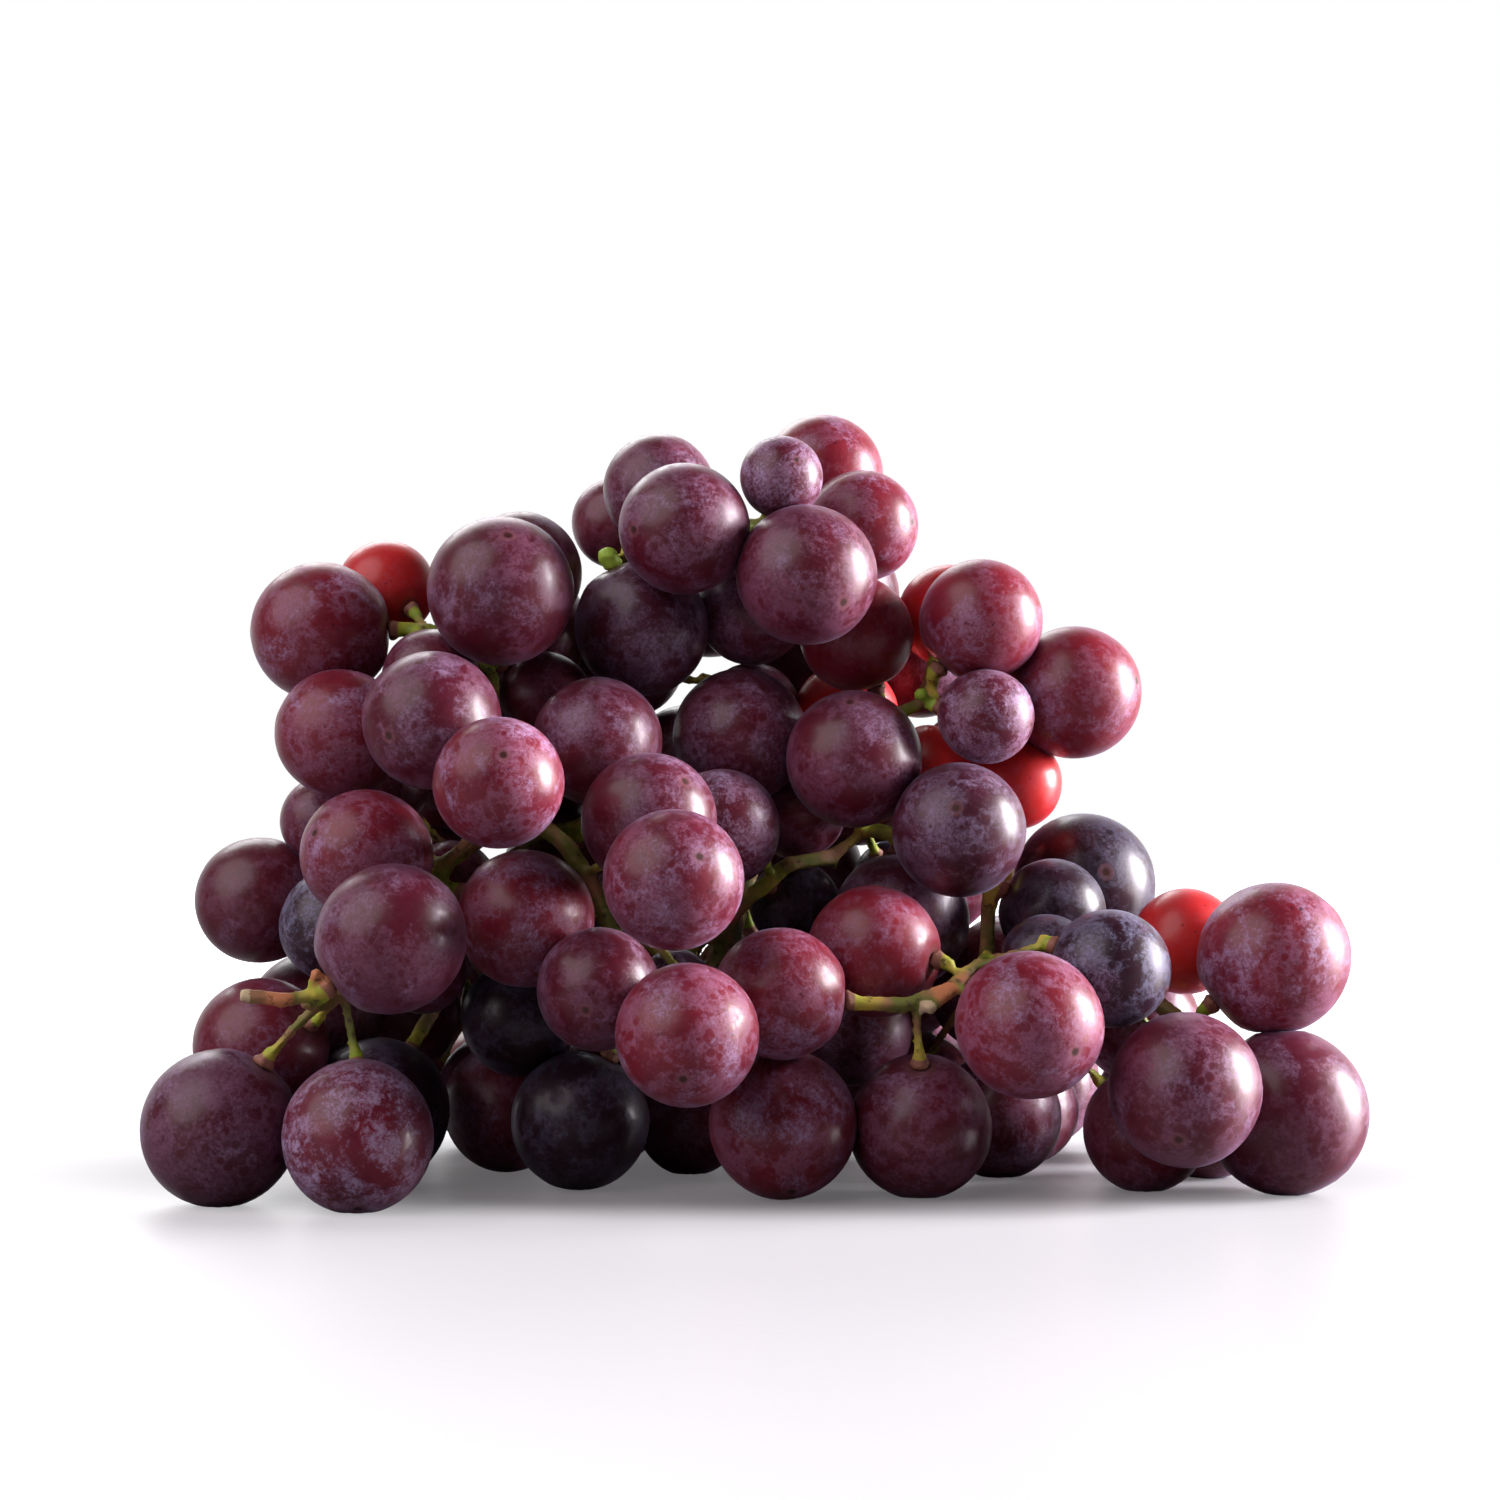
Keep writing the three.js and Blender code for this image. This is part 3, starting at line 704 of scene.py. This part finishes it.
def stemColour(skin, noises):
    ramps = stemLook["ramps"]
    sways = stemLook["sways"]
    cloud = noises["cloud"]
    fine = noises["fine"]
    green, rim, dried = skin.split(skin.attribute("stemTone").out("Color"))
    special = skin.attribute("stemSpecial").out("Fac")  # 1 at a cut end, -1 on a berry that stayed unripe
    wood = skin.mix(cloud.ramp(*ramps["brown"]), stemLook["olive"], stemLook["brown"])
    yellow = (cloud + fine.sway(sways["yellowFine"])).ramp(*ramps["yellow"])
    fresh = skin.mix(yellow, stemLook["lime"], stemLook["yellow"])
    colour = skin.mix((green + cloud.sway(sways["freshCloud"])).ramp(*ramps["fresh"]), wood, fresh)
    colour = skin.mix((rim + fine.sway(sways["rimFine"])).ramp(*ramps["rim"]), colour, stemLook["rim"])
    dry = (dried + fine.sway(sways["driedFine"])).ramp(*ramps["dried"])
    colour = skin.mix(dry, colour, stemLook["dried"])
    spot = noises["spot"].ramp(*ramps["spot"]) * stemLook["spotShare"]
    colour = skin.mix(spot, colour, stemLook["spot"])
    colour = skin.mix(special.ramp(*ramps["special"]), colour, stemLook["cut"])
    return skin.mix((special * -1).ramp(*ramps["special"]), colour, stemLook["unripe"])


def makeStemSkin():
    skin = newMaterial("stem_skin")
    place = skin.add("ShaderNodeTexCoord").out("Object")
    noises = skin.noises(place, stemLook["noises"])
    height = noises["fine"] + noises["cloud"] * stemLook["bumpCloud"]
    shiny = skin.add("ShaderNodeBsdfPrincipled", None, {
        "Base Color": stemColour(skin, noises),
        "Roughness": noises["fine"].span(*stemLook["rough"]),
        "IOR": stemLook["bend"],
        "Normal": skin.bump(height, stemLook["bumpStrength"], stemLook["bumpHeight"]),
        "Subsurface Weight": stemLook["subsurface"],
        "Subsurface Scale": stemLook["subsurfaceScale"],
        "Subsurface Radius": stemLook["subsurfaceReach"],
    })
    skin.add("ShaderNodeOutputMaterial", None, {"Surface": shiny.out()})
    return skin.owner


def farFrom(places, spot):
    return min((Vector(place) * mm - spot).length for place in places)


def roundedStem(shape, berries):
    bmesh.ops.recalc_face_normals(shape, faces=shape.faces)
    shape.normal_update()
    fattened = [(vert, vert.co + vert.normal * stemBuild["fatten"]) for vert in shape.verts]
    for vert, place in fattened:
        vert.co = place
    for berry in berries:
        if berry["hasStalk"] or berry["stalkOff"] < stemBuild["furthestPad"]:
            addPad(shape, berry)
    fine = remeshed(shape, "stem_melt", stemBuild["voxel"])
    for _ in range(stemBuild["soften"]):
        bmesh.ops.smooth_vert(fine, verts=fine.verts, factor=stemBuild["softenBy"],
                              use_axis_x=True, use_axis_y=True, use_axis_z=True)
    fine.normal_update()
    return fine


def makeStem(shape, berries):
    fine = roundedStem(shape, berries)
    toneLayer = fine.verts.layers.float_color.new("stemTone")
    specialLayer = fine.verts.layers.float.new("stemSpecial")
    pads = np.array([(berry["place"] + berry["stalk"] * berry["radius"])[:] for berry in berries])
    low, high = stemBuild["rimHeight"]
    for vert in fine.verts:
        gaps = ((pads - vert.co) ** 2).sum(axis=1)
        nearest = int(gaps.argmin())
        near = math.sqrt(gaps[nearest])
        up = (vert.co - Vector(pads[nearest])).dot(berries[nearest]["stalk"])
        rim = (high - up) / (high - low) if near < stemBuild["rimReach"] else 0.0
        rim = min(1.0, max(0.0, rim))
        unripe = farFrom(stemBuild["unripe"], vert.co) < stemBuild["unripeReach"]
        cut = farFrom(stemBuild["cuts"], vert.co) < stemBuild["cutReach"]
        dried = max(0.0, 1 - farFrom(stemBuild["dried"], vert.co) / stemBuild["driedReach"])
        vert[toneLayer] = (max(0.0, 1 - near / stemBuild["greenReach"]), rim, dried, 1)
        vert[specialLayer] = -1.0 if unripe else float(cut)
        wart = stemBuild["wart"] + (stemBuild["rimWart"] - stemBuild["wart"]) * rim
        lift = wart * noise.noise(vert.co * stemBuild["wartScale"])
        lift += stemBuild["swell"] * noise.noise(vert.co * stemBuild["swellScale"])
        if not unripe:
            vert.co += vert.normal * lift
        vert.co.z = max(vert.co.z, 0.0)
    piece = makePiece("fine_stem", fine, makeStemSkin())
    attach(piece, "root")
    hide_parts("stem")
    print("stage: the stem has", len(piece.data.polygons), "faces")


makeStem(stemShape, allBerries)

# The surface, the light and the camera
floorBuild = {
    "width": 6.0,
    "colour": (0.33, 0.33, 0.345, 1),
    "shaded": (0.20, 0.18, 0.195, 1),  # what the bunch sees of it, so that it throws little light up
    "rough": 0.38,
    "grain": (420.0, 4.0, 0.6),  # scale, detail and roughness
    "bumpStrength": 0.15,
    "bumpHeight": 0.4 * mm,
    "lift": (0.45, 0.44, 0.455, 1),  # light of its own, which keeps it pale
    "paintedShadowLift": (0.11, 0.105, 0.11, 1),  # under the bunch, less light of its own, which paints a shadow there
    "footprint": (1 / 0.105, 1 / 0.055, 0),  # the painted shadow under the bunch is an oval of these half widths, in metres
    "footprintFade": (0.75, 1.25),
    "fadeLift": (1.3, 1.3, 1.3, 1),
    "noLift": (0, 0, 0, 1),
    "behindLift": (0.5, 0.5, 0.53, 1),
    "behindFrom": 0.15,
    "behindTo": 0.60,
    "fadeMiddle": (0, 0.25, 0),
    "fadeFrom": 0.50,
    "fadeTo": 0.85,
}


def makeFloor():
    surface = newMaterial("pale_surface")
    place = surface.add("ShaderNodeTexCoord").out("Object")
    seen = surface.add("ShaderNodeLightPath").out("Is Camera Ray")
    shifted = surface.vector("ADD", place, floorBuild["fadeMiddle"]).out()
    fade = surface.vector("LENGTH", shifted).out("Value")
    fade = fade.ramp(floorBuild["fadeFrom"], floorBuild["fadeTo"])
    # a painted shadow: less light of its own in an oval under the bunch
    scaled = surface.vector("MULTIPLY", place, floorBuild["footprint"]).out()
    outside = surface.vector("LENGTH", scaled).out("Value").ramp(*floorBuild["footprintFade"])
    lift = surface.mix(outside, floorBuild["paintedShadowLift"], floorBuild["lift"])
    lift = surface.mix(fade, lift, floorBuild["fadeLift"])
    depth = surface.add("ShaderNodeSeparateXYZ", None, {0: place}).out(1)
    behind = depth.ramp(floorBuild["behindFrom"], floorBuild["behindTo"])
    thrown = surface.mix(behind, floorBuild["noLift"], floorBuild["behindLift"])
    grain = surface.noise(place, *floorBuild["grain"])
    shiny = surface.add("ShaderNodeBsdfPrincipled", None, {
        "Base Color": surface.mix(seen, floorBuild["shaded"], floorBuild["colour"]),
        "Roughness": floorBuild["rough"],
        "Normal": surface.bump(grain, floorBuild["bumpStrength"], floorBuild["bumpHeight"]),
        "Emission Color": surface.mix(seen, thrown, lift),
        "Emission Strength": 1.0,
    })
    surface.add("ShaderNodeOutputMaterial", None, {"Surface": shiny.out()})
    shape = bmesh.new()
    bmesh.ops.create_grid(shape, x_segments=1, y_segments=1, size=floorBuild["width"] / 2)
    floor = makePiece("floor", shape, surface.owner)


lightPlan = {
    "right": {
        "from": (0.98, 0.08, 0.27),
        "width": 0.54,
        "height": 0.72,
        "power": 44.0,
        "colour": (1, 0.96, 1),
    },
    "left": {
        "from": (-0.80, -0.58, 0.80),
        "width": 1.50,
        "height": 1.50,
        "power": 14.5,
        "colour": (1, 0.90, 0.95),
    },
    "back": {
        "from": (-0.35, 1.00, 0.85),
        "width": 1.00,
        "height": 0.60,
        "power": 7.0,
        "colour": (1, 1, 1),
    },
    "target": (0.0, 0.0, 0.06),
    "backdrop": 1.0,  # what the camera sees behind the bunch
    "behind": 1.15,  # what lights the bunch from behind and from in front
    "front": 0.02,
    "behindFrom": 0.35,
    "behindTo": 0.95,
}


def addSoftbox(name):
    plan = lightPlan[name]
    light = bpy.data.lights.new(name + "_light", "AREA")
    light.shape = "ELLIPSE"
    light.size = plan["width"]
    light.size_y = plan["height"]
    light.energy = plan["power"]
    light.color = plan["colour"]
    box = bpy.data.objects.new(name + "_light", light)
    bpy.context.scene.collection.objects.link(box)
    box.location = plan["from"]
    aim = Vector(lightPlan["target"]) - Vector(plan["from"])
    box.rotation_euler = aim.to_track_quat("-Z", "Y").to_euler()
    box.visible_camera = False


def makeWorld():
    world = bpy.data.worlds.new("studio")
    bpy.context.scene.world = world
    air = Shader(world)
    way = air.add("ShaderNodeTexCoord").out("Generated")
    back = air.add("ShaderNodeSeparateXYZ", None, {0: way}).out(1)
    behind = back.ramp(lightPlan["behindFrom"], lightPlan["behindTo"])
    level = behind.span(lightPlan["front"], lightPlan["behind"])
    seen = air.add("ShaderNodeLightPath").out("Is Camera Ray")
    strength = level + (lightPlan["backdrop"] - level) * seen
    glow = air.add("ShaderNodeBackground", None, {"Color": (1, 1, 1, 1), "Strength": strength})
    air.add("ShaderNodeOutputWorld", None, {"Surface": glow.out()})


cameraPlan = {
    "place": (-0.0023, -0.5172, 0.058),
    "tiltUp": 1.178,  # degrees
    "lens": 75.84,
    "sensor": 36.0,  # millimetres, as the lens
    "nearest": 0.01,
}


def makeCamera():
    camera = bpy.data.cameras.new("camera")
    camera.sensor_width = cameraPlan["sensor"]
    camera.lens = cameraPlan["lens"]
    camera.clip_start = cameraPlan["nearest"]
    eye = bpy.data.objects.new("camera", camera)
    bpy.context.scene.collection.objects.link(eye)
    eye.location = cameraPlan["place"]
    eye.rotation_euler = (math.radians(90 + cameraPlan["tiltUp"]), 0, 0)
    bpy.context.scene.camera = eye


makeFloor()
for name in ("right", "left", "back"):
    addSoftbox(name)
makeWorld()
makeCamera()
bpy.context.scene.view_settings.view_transform = "Standard"
bpy.context.scene.view_settings.look = "None"
print("stage: the surface, light and camera are set")
